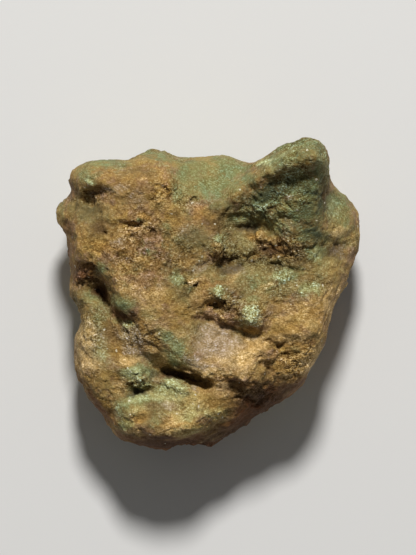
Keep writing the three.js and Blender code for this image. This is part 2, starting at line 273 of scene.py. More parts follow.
def relief(points):
    """How far the listed relief stands above the CAD surface."""
    spot = wander(points, SHAPE_WANDER)
    height = np.zeros(len(points))
    for x, y, length, breadth, turn, rise, edge in MOUNDS:
        height += rise * inside(spot, x, y, length, breadth, turn, edge)
    for rise, half_width, line in LINES:
        distance, _, fade = beside(spot, line)
        height += rise * fade * np.exp(-((distance / half_width) ** 2))
    for rise, rise_reach, drop, drop_reach, line in LEDGES:
        distance, _, fade = beside(spot, line)
        above = rise * np.exp(-np.abs(distance) / rise_reach)
        below = -drop * np.exp(-np.abs(distance) / drop_reach)
        height += fade * np.where(distance > 0, above, below)
    for width, drop, drop_reach, line in SHELVES:
        distance, level, fade = beside(spot, line)
        fill = blend_in(width, 0.5 * width, distance) * np.maximum(0, level - points[:, 2] - height)
        height += fade * np.where(distance > 0, fill, -drop * np.exp(-np.abs(distance) / drop_reach))
    return height


# ---- where the stone is rough, what colours it has, and where shade and light are painted ----

# Patches seen from above: (x, y, length, breadth, turn in degrees, strength), the longer
# tables by region.
ROUGH = [
    (-13, 11.4, 2, 1.4, 0, 0.6), (-7.5, 5.5, 5, 5, 0, 0.7), (-5, 12, 2, 1.4, 0, 0.7),
    (-3, 4, 3, 3, 0, 0.5), (-2, 10.6, 2, 1, 0, 0.7), (8, 10.5, 7, 2.8, 25, 0.7),
    (9, 13.8, 4.5, 1.4, 30, 0.6), (10, 16.2, 3.4, 1.2, 25, 0.45), (2, 5, 3, 2.4, 0, 0.7),
    (8, 5, 6, 2.8, 0, 0.85), (9, 1, 5, 2.4, 0, 0.6), (-2, 1, 2, 1.4, 0, 0.7),
    (3, -1.5, 4.5, 2, -15, 0.9), (9, -8, 4, 3, 0, 0.55), (6, -11.5, 4, 2, -10, 0.6),
    (-14, 2.4, 2, 1.8, 0, 0.9), (-13, -4, 2, 3, 0, 0.5), (-8, -4.5, 3, 2, -40, 0.5),
    (-8, -10.6, 2.4, 0.8, 0, 0.8),
]
CRUMBLY = [
    # left corner
    (-16.6, 9.6, 1.2, 2, 0, 0.8), (-13.6, 11.6, 2, 1.2, 0, 0.7),
    # plateau
    (-8, 8, 2.4, 1, 0, 0.7), (-6.6, 5.4, 3, 1.6, 0, 0.5),
    # horn
    (10, 8.6, 4, 2.4, 0, 0.35),
    # middle
    (2, 5, 2.4, 1.6, 0, 0.6), (4.6, 1, 3, 1.6, 20, 0.5), (8.4, 4.6, 5, 1.4, 0, 0.5),
    # near step
    (0.8, -1.8, 2, 1.6, -20, 0.9), (5, -2.2, 1.6, 1.4, 0, 0.5),
    # hollow face
    (3, -9.8, 2.4, 0.8, -10, 0.7),
    # right flank
    (8.6, -7, 4, 2.4, 0, 0.5),
    # left flank
    (-14, 2.2, 2, 2, 0, 0.9), (-13.4, -6, 1.6, 4, 0, 0.5), (-12.2, 0, 1.6, 2, 30, 0.8),
    (-11.6, -10.4, 2, 2, 0, 0.6), (-9.6, -3.2, 2, 0.8, -20, 0.8),
    # slit, nodule
    (-8, -9.2, 2.4, 1.4, 0, 1), (-3, -8.4, 4, 0.7, -20, 0.6),
    # near lobe
    (-9, -15, 2.4, 2, 0, 0.9), (-8, -12.4, 3, 1.6, 0, 0.8), (-4, -10.8, 4, 1.4, -20, 1),
    (-3, -14, 5, 2.6, 0, 0.7),
]
SAGE = [
    # left corner
    (-16.8, 9.6, 1, 2, 0, 0.3), (-14.2, 10.2, 2.2, 2, 0, 0.7),
    # plateau
    (-3, 12, 1.6, 3, 0, 0.7),
    # right shoulder
    (13, 4.5, 3, 4, 0, 0.9), (15.2, 8, 1.8, 4, 0, 0.8),
    # middle
    (-2, 6.2, 2.6, 2, 0, 0.8), (1, 2.6, 3, 1.4, 0, 0.6), (2.4, 9, 2, 1.6, 0, 0.8),
    (3.4, 6, 2.8, 2.6, 0, 0.9), (8, 2.6, 6.5, 3.2, 0, 0.9),
    # near step
    (-3.4, 1, 1.8, 2.6, 0, 0.8), (3.5, -4.3, 1.4, 0.8, 0, 0.6), (4.6, -0.8, 3, 1.4, 0, 0.7),
    # left flank
    (-13.4, 0, 2.2, 1.5, 0, 0.9), (-12.8, -4.6, 2.2, 4.6, 0, 0.9), (-9.6, -0.8, 2.2, 1.2, -10, 0.6),
    (-8.6, -4.6, 1.8, 1.3, 0, 0.6),
    # lip
    (-6.5, -8, 3, 1.6, 0, 0.5), (-3.6, -5.2, 2.4, 2.4, -40, 0.8),
    # slit, nodule
    (-8, -9, 3.5, 3.5, 0, 0.6),
    # near lobe
    (-7, -12.4, 4.4, 2.6, -15, 0.8), (-2.6, -12.6, 3, 2, 0, 0.5),
]
GOLD = [
    # plateau
    (-12.6, 6.2, 2.6, 2, 0, 0.8), (-8.6, 1.8, 2, 1.2, 0, 0.4), (-7.2, 14.4, 2.6, 0.9, 0, 0.3),
    (-7, 8.4, 3.2, 2, 0, 0.5), (-6.6, 11.6, 3, 1.8, 0, 0.6), (-5.6, 0.4, 3, 1.4, -20, 0.6),
    (-4, 9, 1.6, 1.4, 0, 0.6),
    # right shoulder
    (14.6, 2, 0.8, 2, 0, 0.4), (15.2, 8, 1.2, 0.7, 0, 0.5),
    # hollow face
    (5, -6.6, 1.6, 2, -20, 0.5),
    # right flank
    (8.4, -3.6, 2.4, 1, 0, 0.8), (10, -8, 2.4, 2, 0, 0.8), (11.4, -2.4, 2.8, 2, 0, 0.8),
    (12.6, -4.6, 1.2, 1, 0, 0.5),
    # terrace
    (7.4, -8.6, 2, 1.4, 0, 0.5),
    # left flank
    (-12, -12.4, 1.8, 1, -45, 0.8), (-11.6, -9.6, 2, 1.4, 0, 0.6), (-10.6, -5.6, 0.7, 1.4, 0, 0.8),
    (-9.6, -7.6, 1.5, 1.1, 0, 0.8),
    # lip
    (-3.6, -2.4, 2.4, 1.6, -30, 0.6),
    # near lobe
    (-2, -15, 2, 0.8, 0, 0.6), (-1, -11.8, 1.4, 0.6, 0, 0.6), (1, -12.4, 2.6, 1.6, 0, 0.9),
]
OLIVE = [
    # left corner
    (-13.9, 9.8, 1.6, 1.2, 0, 0.8), (-13.6, 14.2, 1.4, 1, 0, 0.5), (-13.4, 9, 2.8, 1.6, 0, 0.9),
    # plateau
    (-8.4, 14.2, 2.2, 0.9, 0, 0.6), (-5, 7.6, 1.2, 1, 0, 0.5), (-4.4, 4, 0.8, 2.6, 0, 0.6),
    # far bevel
    (-6.2, 15.6, 2.4, 0.6, 0, 0.5), (-2.4, 14.8, 2.4, 1, 0, 0.5),
    # right shoulder
    (13.4, 1.4, 1.6, 1.6, 0, 0.6), (14.4, 4.6, 1.4, 1.2, 0, 0.7), (15, 7, 1.6, 1, 0, 0.5),
    # middle
    (-1.6, 2.8, 2.4, 0.8, 0, 0.6), (-1.6, 6.2, 2.6, 1.8, 0, 0.8), (1.4, 9.2, 1.8, 1.4, 0, 0.8),
    (1.6, 9.8, 1.4, 0.8, 0, 0.6), (2, 3, 2, 1, 0, 0.6), (2.6, 8.6, 1.6, 1.4, 0, 0.8),
    (2.8, 3, 2, 1, 0, 0.9), (3.4, 5.4, 2, 1.6, 0, 0.7), (4, 1, 3, 1.2, 0, 0.6),
    (6.4, 3.4, 3, 1, 0, 0.6), (8, 0, 3, 1, 0, 0.5), (10, 4, 3.5, 1.2, 0, 0.7),
    # near step
    (-3.2, 0.6, 1.2, 1.4, 0, 0.7), (-3, 1.2, 2, 1.6, 0, 0.6), (-1, -3.6, 1.6, 0.8, 0, 0.6),
    # right flank
    (12.6, -5.6, 1, 1, 0, 0.5),
    # left flank
    (-14.6, -1, 1.2, 1, 0, 0.5), (-12.6, -4.2, 1.4, 1.8, 0, 0.6), (-11.4, -1.6, 1.4, 1, 0, 0.5),
    (-11, -10.6, 1.4, 1.2, 0, 0.4),
    # near lobe
    (-9.4, -15, 1.8, 1.4, 0, 0.6), (-7, -13.8, 1.5, 1.2, 0, 0.6), (-6, -13, 2, 1.4, 0, 0.5),
    (0.4, -13.4, 2.4, 1, 0, 0.5),
]
UMBER = [
    # left corner
    (-16, 8, 0.8, 1, 0, 0.6), (-15.4, 11.6, 0.8, 2.4, 0, 0.3), (-13.4, 11.8, 1.2, 0.6, 0, 0.2),
    # plateau
    (-12.6, 7.9, 1.6, 0.8, 0, 0.9), (-11.9, 7.4, 0.9, 0.6, 0, 0.5), (-10.6, 6.6, 0.8, 0.8, 0, 0.5),
    (-10, 12.2, 3.4, 1.8, 0, 0.35), (-8.4, 8.5, 2, 0.6, 0, 0.5), (-8, 14.2, 2.6, 0.9, 0, 0.45),
    (-3.6, 9.4, 0.7, 0.5, 0, 0.5),
    # right shoulder
    (14.3, 5, 1.4, 1, 0, 0.6),
    # middle
    (-2.2, 4.6, 1.8, 1.2, 0, 0.4), (0.6, 7.6, 1.4, 1, 0, 0.5), (0.8, 8.6, 1.6, 0.9, 0, 0.8),
    (1.2, 9.8, 1.2, 1.2, 0, 0.7), (1.6, 9.4, 1.2, 1.2, 0, 0.5), (1.8, 4.2, 1.2, 0.7, 0, 0.9),
    (7.4, 5, 2.4, 1, -5, 0.9), (10.5, 4, 2.4, 0.8, 0, 0.5), (11, 3, 1.4, 0.8, 0, 0.6),
    (11.2, 1.8, 1.3, 0.6, 0, 0.5), (11.6, 5.8, 2.6, 0.6, 0, 0.4),
    # near step
    (-3, 0.9, 2.4, 1.2, -10, 0.4), (-1, -1.4, 1.4, 0.6, 0, 0.2), (3, -1.6, 2.4, 0.8, -15, 0.5),
    # right flank
    (7, -7.6, 1, 1.4, 0, 0.3), (8, -5.6, 2.6, 0.5, 0, 0.4), (11, -5.6, 1.8, 0.5, 0, 0.6),
    # terrace: along the shaded near rim, also painted shade
    (2, -15.4, 4.4, 1.3, 22, 0.9), (5, -12.4, 4.4, 1.6, -10, 0.9), (6, -10.4, 2.6, 1, -10, 0.7),
    (6.8, -9.2, 1, 0.7, 0, 0.9), (9.6, -11, 2.2, 0.8, 30, 0.7),
    # left flank
    (-14.8, -9, 0.5, 3, 0, 0.4), (-14.4, 0.2, 1.2, 1, 0, 0.6), (-14.2, 2.6, 1.9, 1.6, 0, 0.6),
    (-12.4, -13, 2, 0.8, -50, 0.6), (-12.2, 0.4, 0.9, 1.4, 30, 1), (-10.9, -4.6, 0.9, 2, 0, 0.8),
    (-10.3, -5, 0.8, 1.6, 0, 0.8), (-9.6, -2.4, 1.8, 0.6, -20, 0.9), (-8, -3.4, 1, 0.5, 0, 0.7),
    # lip
    (-7, -4.4, 1.8, 1.4, -45, 0.3), (-5.8, -6.4, 1.4, 1, -45, 0.25),
    # near lobe: the band along its shaded near rim is also painted shade
    (-8, -15.4, 1, 0.6, 0, 0.4), (-7.2, -13.2, 0.9, 1.4, 0, 0.8), (-6.6, -13.4, 1, 1.6, 0, 0.6),
    (-6.5, -15.4, 1.2, 2, 0, 0.5), (-5, -17, 5.4, 1, 0, 1),
]
GREEN = [
    # left corner
    (-16.8, 9.9, 0.8, 1.3, 0, 0.6), (-13.9, 14, 1.3, 1.1, 0, 0.7),
    # plateau
    (-8.2, 8.4, 0.35, 0.3, 0, 0.9), (-6.8, 5, 0.45, 0.35, 0, 0.8), (-5.1, 7.6, 0.8, 0.5, 0, 0.5),
    (-3.4, 11.9, 1.1, 1.6, 0, 0.6),
    # far bevel
    (-12.2, 15.3, 3.4, 0.8, 2, 0.9), (-9.4, 15.5, 1.6, 0.5, 0, 0.6), (-6.2, 16.3, 2.8, 0.7, 0, 0.9),
    (-4.2, 15.6, 2, 0.8, 0, 0.7), (-1.6, 14.2, 2.8, 2.2, 0, 1), (0.4, 12.6, 3.4, 1.9, 0, 1),
    (1.4, 15.4, 2, 0.8, 0, 0.9), (1.8, 10.9, 1.6, 1, 10, 0.8), (2.6, 14.6, 3, 2, 0, 1),
    (2.8, 12.6, 1.4, 1.2, 0, 0.8),
    # horn
    (4.6, 13.2, 1.2, 1.2, 0, 0.9), (5.6, 9, 2.6, 1.6, 0, 0.9), (6.6, 11, 3.4, 2, 25, 1),
    (6.8, 8.4, 1.6, 0.7, 0, 0.9), (7.8, 7.8, 2.6, 1, 0, 0.8), (8, 11.4, 3, 1.6, 20, 1),
    (9.4, 16.2, 4.6, 2, 28, 1), (10.2, 12.6, 3.8, 2.4, 20, 1), (10.4, 9.6, 3.6, 2.2, 0, 1),
    (11.8, 16.8, 2, 1, 20, 0.9), (12, 12, 2.6, 3, 0, 1), (12.6, 16.4, 1.4, 1.2, 0, 0.8),
    (13, 14, 1.2, 3, 0, 0.9),
    # right shoulder
    (11.6, 7, 2.6, 1.1, 0, 0.8), (12.8, 4.8, 1.6, 1.3, 0, 0.8), (14.6, 10.6, 1.6, 1.8, 0, 1),
    (15.8, 9, 1.2, 2.4, 10, 0.7),
    # middle
    (1.4, 6.2, 0.9, 1.1, 0, 0.7), (6.4, 1.2, 1.8, 1.2, 0, 0.7), (9.2, 2.4, 2.2, 0.9, 5, 0.8),
    (10.4, 6, 1.2, 0.5, 0, 0.6), (10.8, 6.3, 0.9, 0.6, 0, 0.9), (12, 0.6, 1.8, 0.9, 0, 0.7),
    # near step
    (-3.2, 2, 1.2, 1, 0, 0.7), (-1.8, 0.6, 0.8, 0.7, 0, 0.5), (1, 0.1, 1.4, 0.5, -10, 0.8),
    (4.8, -0.4, 1, 0.6, 0, 0.5),
    # left flank
    (-13.2, -0.5, 1.6, 0.9, -20, 0.7), (-12.6, -3, 1, 0.9, 0, 0.4), (-12.4, -1.9, 1, 0.9, 0, 0.5),
    (-12.2, 2.9, 0.7, 0.9, 20, 0.8), (-9.7, -1, 1.5, 0.8, -20, 0.9), (-9.6, -3.3, 1, 0.5, -30, 0.5),
    # lip
    (-6.7, -2.3, 1, 0.8, -40, 0.5), (-6.3, -7.5, 1.1, 0.6, 0, 0.7), (-4.8, -4.9, 0.9, 1.6, 25, 0.9),
    (-4.6, -7.2, 1.4, 0.6, -20, 0.5), (-4.4, -7.4, 1.5, 0.7, -25, 0.9),
    (-3.5, -6.5, 1.3, 1.2, -30, 1), (-2.4, -8.1, 1.5, 0.6, -22, 0.8),
    (-2.3, -7.4, 1.6, 0.8, -20, 0.7),
    # slit, nodule
    (-8.2, -8.9, 2.1, 0.95, 8, 1), (-8, -12.2, 2.6, 0.9, 0, 0.9), (-6.6, -10.6, 3, 0.8, 5, 0.9),
    # near lobe
    (-10, -13.2, 1, 1, -30, 0.7), (-9.5, -14.9, 1.1, 1, 0, 0.9), (-6.2, -14.4, 0.6, 1, 0, 0.4),
    (-4.4, -10.8, 2.2, 1.2, -10, 1), (-2, -13.9, 1.5, 0.8, 20, 0.7),
]
LIME = [
    (12, 0.6, 1.6, 0.8, 0, 0.3), (-9.4, -9, 0.8, 0.8, 0, 0.4), (-9.4, -14.6, 1.2, 1.2, 0, 0.4),
    (-8, -13.4, 1.4, 0.8, 0, 0.3), (-4, -11.6, 3, 1.4, -12, 0.7), (-2, -15.8, 2.4, 0.7, 5, 0.5),
    (-2, -13.6, 2.6, 1.2, 10, 0.6), (0.6, -13.8, 2, 1, 0, 0.5),
]
MINT = [
    # left corner
    (-13.4, 13.2, 0.5, 0.45, 0, 1),
    # horn: under the crest, where shade falls, partly painted light
    (5.8, 9, 1, 0.5, 0, 0.35), (6.2, 10.3, 1.2, 0.4, 20, 0.4), (6.6, 15.2, 0.7, 0.45, 20, 0.8),
    (8, 8.2, 1.2, 0.6, 0, 0.35), (9, 16.4, 1.6, 0.4, 25, 0.35), (9.4, 13.8, 1.8, 0.7, 25, 0.45),
    (13, 15, 0.6, 1.2, 0, 0.35),
    # right shoulder
    (12.9, 4.6, 0.8, 0.8, 0, 0.4), (14.4, 10, 0.8, 1.4, 0, 0.4),
    # middle
    (1.2, 6.6, 0.8, 0.5, 0, 0.5), (9, 2.3, 1.8, 0.5, 5, 0.6), (10.8, 6.4, 0.6, 0.35, 0, 0.6),
    (12, 0.8, 1.4, 0.6, 0, 0.5),
    # near step: on the knob's shaded lower side, partly painted light
    (-3.2, 2, 0.8, 0.7, 0, 0.35), (1.1, 0.15, 0.8, 0.35, -15, 1), (1.2, -0.4, 1, 0.5, -20, 0.7),
    (4.6, -1.7, 0.5, 0.45, 0, 1), (4.9, -3.1, 1.2, 0.6, 0, 0.7), (5, -2.3, 1.1, 0.95, -20, 0.9),
    # left flank
    (-12.2, -6.6, 0.8, 1.4, 0, 0.35), (-9.2, -3.5, 0.8, 0.35, -30, 0.7),
    # lip
    (-5.2, -4.6, 0.8, 1.2, 30, 0.4), (-4, -6.2, 1.2, 1.8, 30, 0.3), (-3.6, -7.6, 1.6, 0.4, -25, 0.4),
    # slit, nodule
    (-8.6, -9, 1.2, 0.7, 8, 0.8), (-8.2, -12.1, 1.9, 0.4, 0, 0.7), (-8, -9.8, 1.2, 0.4, 5, 0.7),
    (-7.4, -10.4, 1.2, 0.2, 5, 0.7), (-4.2, -10, 1.2, 0.5, -15, 0.7),
    # near lobe
    (-10.2, -12.9, 0.5, 0.6, 0, 0.7), (-6, -12, 2.6, 0.5, 5, 0.5), (-5.2, -11.6, 1, 0.4, 0, 0.5),
    (-4.6, -11, 1.4, 0.6, -10, 0.4), (-4.4, -10.4, 1.4, 0.6, -15, 0.6),
    (-3.4, -11.4, 2, 0.6, -10, 0.4), (-3.4, -10.9, 1.2, 0.7, 0, 0.4),
]
OCHRE = [
    # left corner
    (-16.4, 9.2, 0.9, 1.2, 0, 0.4),
    # plateau
    (-12, 5.6, 1.7, 0.9, -10, 0.6), (-8.6, 13.6, 1.6, 0.6, 0, 0.4), (-7.4, 8.8, 1.1, 0.4, 0, 0.7),
    (-5.4, 13, 0.9, 1.4, 0, 0.4),
    # far bevel
    (-5.4, 15, 1.3, 0.6, -10, 0.4), (3.6, 12, 1.6, 0.35, 45, 0.6),
    # horn
    (5.6, 13.8, 1, 0.35, 35, 0.6),
    # right shoulder
    (16.2, 6.7, 0.6, 0.7, 0, 0.7),
    # middle
    (-0.9, 9.7, 1.1, 0.9, -20, 0.7), (0.6, 9, 0.6, 0.5, 45, 0.5), (5.6, 6.3, 1.2, 0.5, -25, 1),
    (8, 5.4, 1.2, 0.5, -15, 0.7), (8.6, 4.4, 1.4, 0.4, 0, 0.5),
    # near step
    (-0.4, -1.3, 0.5, 0.4, 0, 0.8), (5, -4.3, 1.1, 0.3, 0, 0.8),
    # hollow face
    (2.4, -9.6, 0.7, 0.4, 0, 0.5), (4, -6, 0.7, 0.5, 0, 0.5), (5.4, -6.4, 1, 1.2, -20, 0.6),
    # right flank
    (8.6, -8.6, 1.6, 1, 0, 0.5), (10, -5.6, 1.8, 0.6, 0, 0.5), (10, -4.2, 2.2, 0.7, 0, 0.5),
    (12.4, -2.2, 1.3, 1, 0, 0.8),
    # left flank
    (-14.4, 3.4, 1.2, 0.4, -10, 0.5), (-10.6, -9.6, 0.5, 0.7, 0, 0.6), (-10, -6.6, 0.7, 0.8, 0, 0.5),
    # lip
    (-7.2, -3.5, 0.6, 0.5, 0, 0.6), (-3.8, -3.7, 0.7, 0.5, 0, 0.7),
    # near lobe
    (-8, -14.3, 1, 0.7, 0, 0.8), (-3.8, -14.9, 1.4, 0.8, 0, 0.9), (-2.7, -12.4, 1.1, 0.5, 20, 0.7),
    (0.8, -12.7, 0.7, 0.6, 0, 0.6),
]
LILAC = [
    # plateau
    (-10.6, 12.2, 1.8, 0.6, 0, 0.4), (-10.4, 6.1, 0.6, 0.5, 0, 0.5), (-10, 4, 1.2, 0.6, 0, 0.3),
    (-8, 11, 1.2, 0.8, 0, 0.5), (-5.6, 0.8, 1, 0.5, 0, 0.3), (-3, 7.4, 1, 0.8, 0, 0.3),
    # horn
    (9.1, 11.1, 0.5, 0.4, 0, 0.8),
    # right shoulder
    (15.2, 5, 0.7, 0.6, 0, 0.5),
    # middle
    (-0.8, 3.2, 0.8, 0.7, 0, 0.4), (3.4, 2.8, 1.4, 0.7, -20, 0.4),
    # near step: on the knob's shaded lower side, partly painted light
    (3.2, -5.2, 1.4, 0.7, 0, 0.8), (4.9, -3.2, 0.9, 0.4, -20, 0.8),
    # hollow face
    (-0.4, -8.3, 1.9, 0.8, -10, 0.9), (0.6, -5.6, 2.4, 1.8, -10, 0.9), (1, -4.7, 2.1, 1.3, -10, 1),
    (1.8, -6.6, 2, 1.2, 0, 0.6), (2.4, -5.8, 2.4, 1.2, -10, 0.8), (3, -8, 1.4, 1, 0, 0.35),
    (5.6, -5.2, 0.8, 0.4, 0, 0.5),
    # right flank
    (7.2, -1.9, 1, 0.6, 0, 0.5), (11.7, -8.3, 0.5, 0.9, -35, 0.8),
    # left flank
    (-13.6, -6, 1.6, 3, 0, 0.35), (-12, -5.6, 0.5, 1.4, 0, 0.4), (-9, -4.4, 0.8, 0.8, 0, 0.5),
    (-8.6, -6.3, 1.1, 0.45, 0, 0.9), (-8.4, -5.2, 1.8, 1.6, -40, 0.45),
    # lip
    (-7, -7, 0.8, 0.4, 0, 0.4), (-1.4, -7.8, 1.6, 0.8, -25, 0.8), (-1, -7.4, 1, 0.8, 0, 0.7),
    # near lobe
    (-4.6, -12.7, 1.2, 0.5, 0, 0.8), (-1.2, -11.1, 0.6, 0.35, -30, 0.7),
]
PALE = [
    # plateau
    (-8.8, 6.8, 1.2, 0.8, 0, 0.5), (-8.8, 7, 0.4, 0.35, 0, 0.7), (-8, 0.2, 2.4, 1.2, -20, 0.5),
    (-7.6, 13.5, 0.4, 0.3, 0, 0.5), (-6.2, 0.3, 1.2, 0.6, 0, 0.6), (-6, 10.6, 1, 1, 0, 0.3),
    # horn
    (9, 8.7, 0.8, 0.3, 0, 0.4),
    # right shoulder
    (14.4, 0.6, 1, 1.4, 0, 0.5), (15, 7.2, 1.2, 0.6, 0, 0.5), (15.4, 2, 0.8, 1, 0, 0.4),
    # middle
    (1.2, 5.6, 0.9, 0.4, 0, 0.5), (3.2, 1.6, 1, 0.4, 30, 0.4), (6.2, 5.9, 1, 0.5, 0, 0.4),
    (6.8, 0.8, 1.4, 0.35, 30, 0.4), (10, 5.3, 1.3, 0.6, 0, 0.75),
    # near step
    (-1.2, 1.8, 0.8, 0.4, 0, 0.7), (-1, -1.8, 0.9, 0.5, 0, 0.45), (1.6, -2.8, 0.5, 0.2, 0, 0.8),
    # hollow face
    (-1.2, -8.7, 1.2, 0.5, -15, 0.6), (0.4, -8.9, 1.4, 0.5, -10, 0.6), (0.9, -9.7, 0.6, 0.3, 0, 0.5),
    (1.6, -8.9, 1.6, 0.6, -10, 0.7), (1.6, -7.4, 2.2, 0.8, 0, 0.45), (3.4, -7.6, 2, 1.6, -15, 0.5),
    (4, -9.2, 1.2, 0.6, 0, 0.8), (4.4, -7.7, 1.3, 1.5, -20, 1), (6, -5.8, 1.3, 0.8, -20, 0.7),
    (6.2, -6.9, 1.1, 1.1, 0, 0.75),
    # right flank: along its rim, which falls away from the lamp, partly painted light
    (7.4, -7.4, 1, 0.8, 0, 0.4), (8, -3, 2, 0.7, 0, 0.4), (9, -7.5, 0.9, 0.35, 0, 0.6),
    (10, -4.9, 2.2, 0.8, 0, 0.6), (11.2, -7.8, 1.4, 1.6, -35, 0.8), (11.4, -1.6, 2.6, 1.4, 0, 0.35),
    (11.6, -6.6, 1, 0.4, 20, 0.6), (12.4, -3.2, 1.6, 1.2, 0, 0.4), (12.6, -6.8, 0.8, 1.4, -20, 0.6),
    (12.6, -5.4, 0.6, 1.4, -20, 0.4), (13.4, -3.2, 0.9, 2, 0, 0.5), (13.7, -1.2, 0.3, 0.5, 0, 0.8),
    (13.9, -2.2, 0.7, 1.8, 0, 0.9), (13.9, -2, 0.8, 1.6, 0, 0.8),
    # terrace
    (5, -11.2, 0.8, 0.4, 0, 0.5), (8.8, -9.8, 1, 0.7, 20, 0.8),
    # left flank
    (-14.5, -8.8, 0.4, 0.3, 0, 0.6), (-14, -7.4, 1.4, 2, 0, 0.7), (-14, -5, 1.2, 3, 0, 0.5),
    (-9.3, -7.4, 1.1, 0.7, 10, 0.8),
    # lip
    (-7.4, -1.2, 1.8, 0.8, -20, 0.5), (-6.4, -4.2, 1.2, 0.6, -45, 0.3), (-6.2, -7.2, 1, 0.8, 0, 0.4),
    (-6, -3.4, 1, 1.2, 0, 0.4), (-5.8, -7.5, 1, 0.7, 0, 0.8), (-5.4, -4, 0.9, 1.4, 0, 0.45),
    (-3, -4.6, 1, 0.5, 0, 0.4), (-2, -8.4, 1.8, 0.5, -20, 0.5),
    # slit, nodule
    (-10, -10.4, 0.8, 0.8, 0, 0.4),
    # near lobe: along its near rim, which falls away from the lamp, partly painted light
    (-8.5, -15.9, 1.3, 0.5, 0, 0.7), (-4.4, -15.2, 0.8, 0.35, 0, 0.6), (-4, -16.4, 0.35, 0.2, 0, 0.9),
    (-4, -16, 1.5, 0.6, 0, 0.8), (-4, -15.8, 1.4, 0.6, 0, 0.5), (-3.6, -14.4, 1.2, 1, 0, 0.6),
    (-3.2, -11.9, 2.2, 0.7, -10, 0.4), (-1.4, -13.2, 2, 0.8, 20, 0.4), (1.4, -10, 1, 0.7, 0, 0.6),
    (1.6, -10.9, 1, 0.8, 0, 0.5),
]
# Painted shade with red reflected light: on the shaded near rim, in the trough, under the lip and in
# the slit; on the sides and the back, free rust-red stains.
RUST_AND_RED_SHADE = [
    (-16, 6, 0.6, 3, 0, 0.4), (13.7, 11.8, 0.5, 1.6, 0, 0.5), (8, 5.2, 1.8, 0.6, -5, 0.4),
    (2.6, -9.9, 1.2, 0.4, -10, 0.6), (7, -7.2, 0.8, 1.2, -40, 0.3), (13.8, -4, 0.6, 3, 15, 0.4),
    (5, -11, 2.6, 0.8, -10, 0.5), (5.5, -13.2, 6, 1.6, 38, 1), (10.2, -11, 2.2, 0.7, 48, 0.7),
    (-14.2, 2.4, 1.8, 1.6, 0, 0.6), (-13, -12.8, 1, 3.4, 30, 0.7), (-12.2, 0, 0.8, 1.6, 30, 0.8),
    (-9.6, -2.7, 1.8, 0.5, -20, 0.6), (-3, -9.6, 2.6, 0.5, -20, 0.6), (-3.5, -17.4, 7.5, 1, 0, 1),
]
# Dark green stone and painted shade: on the horn's shaded near side and at its foot, and in the slit
# under the nodule; on the sides and the back, free dark green patches.
DEEP_GREEN_AND_SHADE = [
    (3.9, 11.7, 1.2, 0.5, 40, 0.35), (4.8, 11.2, 1, 0.7, 10, 0.5), (5.2, 7.8, 1.8, 0.8, -5, 0.8),
    (6, 8.7, 1.9, 0.7, 0, 0.45), (7.5, 12.4, 3.6, 1, 25, 0.9), (9.2, 12.2, 1.6, 0.7, 20, 0.5),
    (11, 12.2, 1.6, 0.9, 0, 0.5), (11, 15.8, 1, 0.7, 20, 0.4), (11.5, 9.9, 1.6, 0.8, 0, 0.5),
    (11.8, 13.2, 1.6, 1.6, 0, 0.3), (12.4, 15.6, 1.4, 1.6, 10, 0.4), (13.1, 10.8, 1, 1.7, 0, 0.9),
    (12, 7.4, 1.4, 0.8, 0, 0.5), (12.2, 7.2, 1.5, 0.6, 0, 0.9), (-13.6, -0.2, 0.8, 0.5, 0, 0.3),
    (-8.1, -11.2, 1.3, 0.3, 5, 0.9), (-8, -11.6, 1.4, 0.3, 5, 0.8),
]
# Painted shade in cracks, slits, hollows and on shaded rims; on the sides and the back, free dark
# stains.
SHADE_AND_DARK_STAIN = [
    # left corner
    (-15.6, 9.8, 1.2, 1, 0, 0.3), (-15.6, 12.6, 0.45, 1.8, 0, 0.4), (-13.6, 9.8, 1.8, 1, 0, 0.5),
    (-13.4, 11.8, 0.9, 0.35, -5, 0.2),
    # plateau
    (-12.6, 7.4, 1.8, 1.1, 0, 0.6), (-8.3, 8.2, 1.1, 0.25, 0, 0.8),
    # horn
    (4.4, 7.8, 1.2, 0.6, 0, 0.4), (4.8, 7.4, 1.8, 0.7, 0, 0.95), (13.3, 12.2, 0.6, 2, 5, 0.5),
    # right shoulder
    (12.4, 6.5, 1.4, 0.4, 0, 0.5), (13.8, 4.8, 1.2, 0.8, 0, 0.35), (14.4, 5.7, 1.2, 0.35, 0, 0.6),
    (14.8, 5.1, 1, 0.9, 0, 0.7),
    # middle
    (-2, 6.6, 1.6, 1, 0, 0.35), (0.4, 3.2, 1.6, 0.6, 0, 0.3), (0.6, 8.5, 1.8, 0.6, 0, 0.35),
    (1.2, 10.4, 1.2, 0.8, 0, 0.3), (2, 4.2, 1, 0.5, 15, 0.9), (2.5, 2.7, 1.8, 0.8, 10, 0.95),
    (2.6, 3.4, 1.6, 0.7, 10, 0.5), (7.6, 5, 1.8, 0.6, -8, 0.6), (8, 3.4, 1.4, 0.3, -5, 0.5),
    (10, 5.4, 1.2, 0.4, 0, 0.3), (10.4, -0.5, 1.2, 0.3, 0, 0.3), (10.5, 3.6, 1.5, 0.4, -5, 0.35),
    # near step
    (-1.8, 1.1, 0.8, 0.25, -20, 0.6), (1.1, -1.1, 0.9, 0.4, -10, 0.5),
    (3.4, -3.9, 2.4, 0.3, -20, 0.45), (3.4, 0, 0.8, 0.25, 0, 0.5),
    # hollow face
    (3, -10.2, 0.7, 0.3, 0, 0.8),
    # right flank
    (7.6, -5, 0.5, 0.2, 0, 0.8),
    # terrace
    (1, -16.6, 3, 0.8, 20, 0.6), (3, -15.6, 3, 0.9, 25, 0.6), (6, -11.9, 2.4, 0.8, -12, 0.7),
    (6.9, -9.1, 0.8, 0.6, 0, 0.4), (7, -12.9, 4.5, 0.8, 38, 0.55),
    # left flank
    (-12, 0.4, 0.5, 1.3, 30, 0.7), (-9.4, -2.5, 1.2, 0.3, -25, 0.8),
    # slit, nodule
    (-8.4, -11.6, 1.6, 0.4, 5, 0.9), (-6, -9.1, 1.4, 0.5, -15, 0.7), (-4.2, -9.2, 2.4, 0.45, -15, 1),
    (-3, -9.2, 3, 0.5, -18, 0.9),
    # near lobe
    (-5, -17.2, 4.4, 0.7, 0, 0.7),
]

